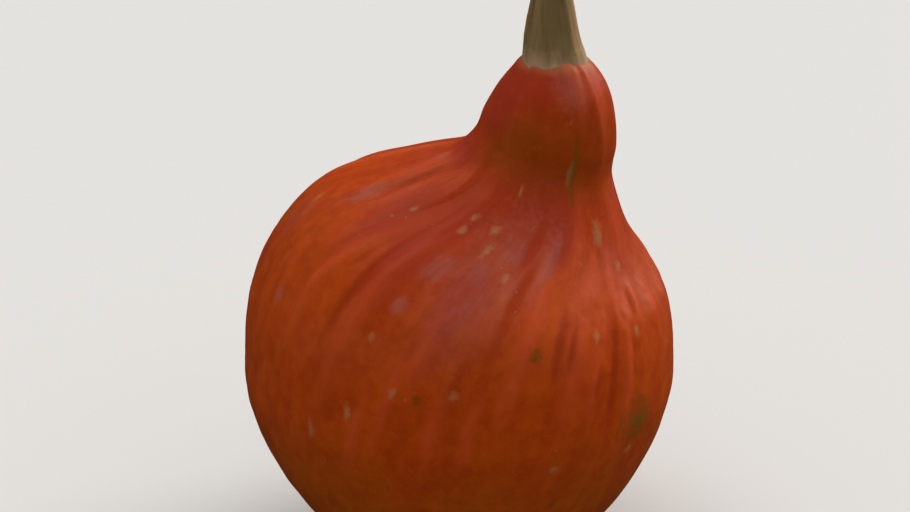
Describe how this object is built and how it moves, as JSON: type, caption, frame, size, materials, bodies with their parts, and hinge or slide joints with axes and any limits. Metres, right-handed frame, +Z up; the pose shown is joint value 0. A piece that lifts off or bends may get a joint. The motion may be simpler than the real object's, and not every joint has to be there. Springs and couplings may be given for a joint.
{
  "type": "pumpkin",
  "caption": "Ripe orange winter squash, teardrop shaped, with a round belly, a neck set to one side and a short dry stem; it stands on its blossom end.",
  "frame": {"origin": "centre of the small flat foot at the blossom end, on the surface that the pumpkin stands on", "axes": "+Z up through the belly's axis; the neck and stem stand towards +X and a little towards -Y; the side to look at is -Y"},
  "size_m": [0.162, 0.162, 0.2412],
  "materials": {
    "rind": "hard, waxy, satin orange skin with fine lengthwise streaks and small corky flecks",
    "stem": "dry, matt, corky and ridged"
  },
  "bodies": {
    "root": {"fruit": "rind", "stem": "stem"}
  },
  "joints": []
}
